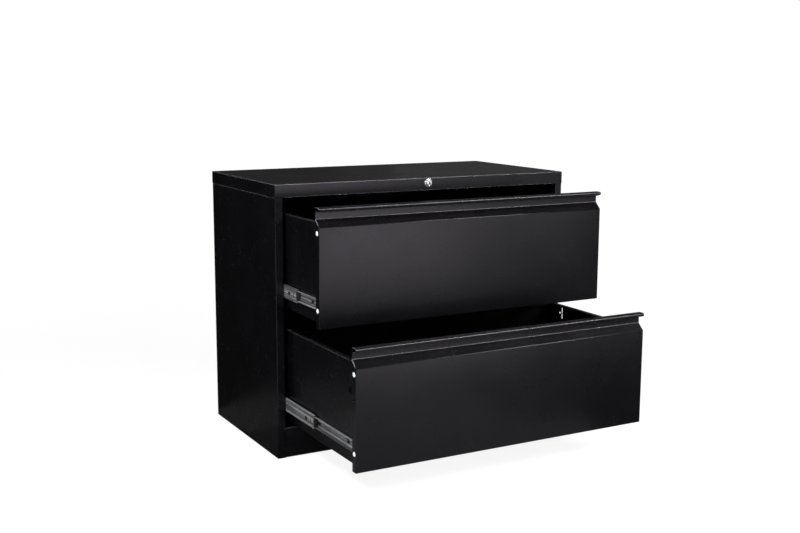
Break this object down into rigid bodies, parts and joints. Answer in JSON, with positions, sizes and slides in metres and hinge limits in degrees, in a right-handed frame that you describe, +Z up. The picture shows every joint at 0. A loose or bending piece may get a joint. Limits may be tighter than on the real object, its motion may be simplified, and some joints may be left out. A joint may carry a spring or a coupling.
{
  "type": "lateral filing cabinet",
  "caption": "Wide low steel filing cabinet with full-width drawers on telescopic ball slides, rolled finger-grip handles, a lock in its top cap and levelling feet.",
  "frame": {"origin": "on the floor, under the middle of the cabinet", "axes": "+X to the right as seen from the front, +Y to the back, +Z up"},
  "size_m": [0.9, 0.865, 0.7255],
  "materials": {
    "shell_paint": "satin black powder coat",
    "drawer_paint": "satin black powder coat",
    "zinc_plate": "bright zinc plate",
    "lock_steel": "black phosphated steel",
    "cage_steel": "stamped and phosphated black, lightly oiled",
    "ball_steel": "polished",
    "lock_chrome": "chrome plate",
    "plug_nylon": "white nylon",
    "stop_plastic": "black moulded plastic",
    "foot_plastic": "black moulded plastic on a zinc stud"
  },
  "bodies": {
    "cabinet": {"top_panel": "shell_paint", "left_side_panel": "shell_paint", "right_side_panel": "shell_paint", "back_panel": "shell_paint", "base_rail": "shell_paint", "bottom_panel": "shell_paint", "left_front_upright": "shell_paint", "right_front_upright": "shell_paint", "left_rear_upright": "shell_paint", "right_rear_upright": "shell_paint", "foot_brackets": "zinc_plate", "lock_barrel": "lock_chrome", "lock_nut": "lock_steel", "lock_rod_bracket": "lock_steel", "lock_bar_guides": "lock_steel", "upper_left_outer_slide": "zinc_plate", "upper_right_outer_slide": "zinc_plate", "lower_left_outer_slide": "zinc_plate", "lower_right_outer_slide": "zinc_plate"},
    "front_left_foot": {"front_left_foot": "foot_plastic"},
    "rear_left_foot": {"rear_left_foot": "foot_plastic"},
    "front_right_foot": {"front_right_foot": "foot_plastic"},
    "rear_right_foot": {"rear_right_foot": "foot_plastic"},
    "lock": {"lock_plug": "lock_chrome", "lock_rod": "lock_steel"},
    "lock_bar": {"lock_bar": "lock_steel"},
    "upper_drawer": {"upper_drawer_front": "drawer_paint", "upper_front_liner": "drawer_paint", "upper_drawer_left_side": "drawer_paint", "upper_drawer_right_side": "drawer_paint", "upper_drawer_back": "drawer_paint", "upper_drawer_bottom": "drawer_paint", "upper_flange_plugs": "plug_nylon", "upper_lock_catch": "lock_steel", "upper_left_inner_slide": "zinc_plate", "upper_right_inner_slide": "zinc_plate"},
    "upper_middle_slides": {"upper_left_middle_slide": "zinc_plate", "upper_right_middle_slide": "zinc_plate", "upper_slide_stops": "stop_plastic"},
    "upper_outer_cages": {"upper_outer_cages": "cage_steel", "upper_outer_balls": "ball_steel"},
    "upper_inner_cages": {"upper_inner_cages": "cage_steel", "upper_inner_balls": "ball_steel"},
    "lower_drawer": {"lower_drawer_front": "drawer_paint", "lower_front_liner": "drawer_paint", "lower_drawer_left_side": "drawer_paint", "lower_drawer_right_side": "drawer_paint", "lower_drawer_back": "drawer_paint", "lower_drawer_bottom": "drawer_paint", "lower_flange_plugs": "plug_nylon", "lower_lock_catch": "lock_steel", "lower_left_inner_slide": "zinc_plate", "lower_right_inner_slide": "zinc_plate"},
    "lower_middle_slides": {"lower_left_middle_slide": "zinc_plate", "lower_right_middle_slide": "zinc_plate", "lower_slide_stops": "stop_plastic"},
    "lower_outer_cages": {"lower_outer_cages": "cage_steel", "lower_outer_balls": "ball_steel"},
    "lower_inner_cages": {"lower_inner_cages": "cage_steel", "lower_inner_balls": "ball_steel"}
  },
  "joints": [
    {"name": "upper_drawer_slide", "type": "slide", "parent": "cabinet", "child": "upper_drawer", "axis": [0, -1, 0], "range_m": [-0.209, 0.195]},
    {"name": "upper_middle_slide_travel", "type": "slide", "parent": "cabinet", "child": "upper_middle_slides", "axis": [0, -1, 0], "range_m": [-0.1045, 0.0975]},
    {"name": "upper_outer_cage_travel", "type": "slide", "parent": "cabinet", "child": "upper_outer_cages", "axis": [0, -1, 0], "range_m": [-0.05225, 0.04875]},
    {"name": "upper_inner_cage_travel", "type": "slide", "parent": "cabinet", "child": "upper_inner_cages", "axis": [0, -1, 0], "range_m": [-0.15675, 0.14625]},
    {"name": "lower_drawer_slide", "type": "slide", "parent": "cabinet", "child": "lower_drawer", "axis": [0, -1, 0], "range_m": [-0.404, 0]},
    {"name": "lower_middle_slide_travel", "type": "slide", "parent": "cabinet", "child": "lower_middle_slides", "axis": [0, -1, 0], "range_m": [-0.202, 0]},
    {"name": "lower_outer_cage_travel", "type": "slide", "parent": "cabinet", "child": "lower_outer_cages", "axis": [0, -1, 0], "range_m": [-0.101, 0]},
    {"name": "lower_inner_cage_travel", "type": "slide", "parent": "cabinet", "child": "lower_inner_cages", "axis": [0, -1, 0], "range_m": [-0.303, 0]},
    {"name": "lock_bar_lift", "type": "slide", "parent": "cabinet", "child": "lock_bar", "axis": [0, 0, 1], "range_m": [0, 0.01061]},
    {"name": "lock_turn", "type": "hinge", "parent": "cabinet", "child": "lock", "pos_m": [0, -0.23, 0.7115], "axis": [0, 1, 0], "range_deg": [0, 90]},
    {"name": "front_left_foot_screw", "type": "slide", "parent": "cabinet", "child": "front_left_foot", "axis": [0, 0, -1], "range_m": [0, 0.01]},
    {"name": "rear_left_foot_screw", "type": "slide", "parent": "cabinet", "child": "rear_left_foot", "axis": [0, 0, -1], "range_m": [0, 0.01]},
    {"name": "front_right_foot_screw", "type": "slide", "parent": "cabinet", "child": "front_right_foot", "axis": [0, 0, -1], "range_m": [0, 0.01]},
    {"name": "rear_right_foot_screw", "type": "slide", "parent": "cabinet", "child": "rear_right_foot", "axis": [0, 0, -1], "range_m": [0, 0.01]}
  ],
  "couplings": [
    {"joint": "upper_middle_slide_travel", "follows": "upper_drawer_slide", "ratio": 0.5},
    {"joint": "upper_outer_cage_travel", "follows": "upper_drawer_slide", "ratio": 0.25},
    {"joint": "upper_inner_cage_travel", "follows": "upper_drawer_slide", "ratio": 0.75},
    {"joint": "lower_middle_slide_travel", "follows": "lower_drawer_slide", "ratio": 0.5},
    {"joint": "lower_outer_cage_travel", "follows": "lower_drawer_slide", "ratio": 0.25},
    {"joint": "lower_inner_cage_travel", "follows": "lower_drawer_slide", "ratio": 0.75},
    {"joint": "lock_turn", "follows": "lock_bar_lift", "rad_per_m": 148.09}
  ]
}
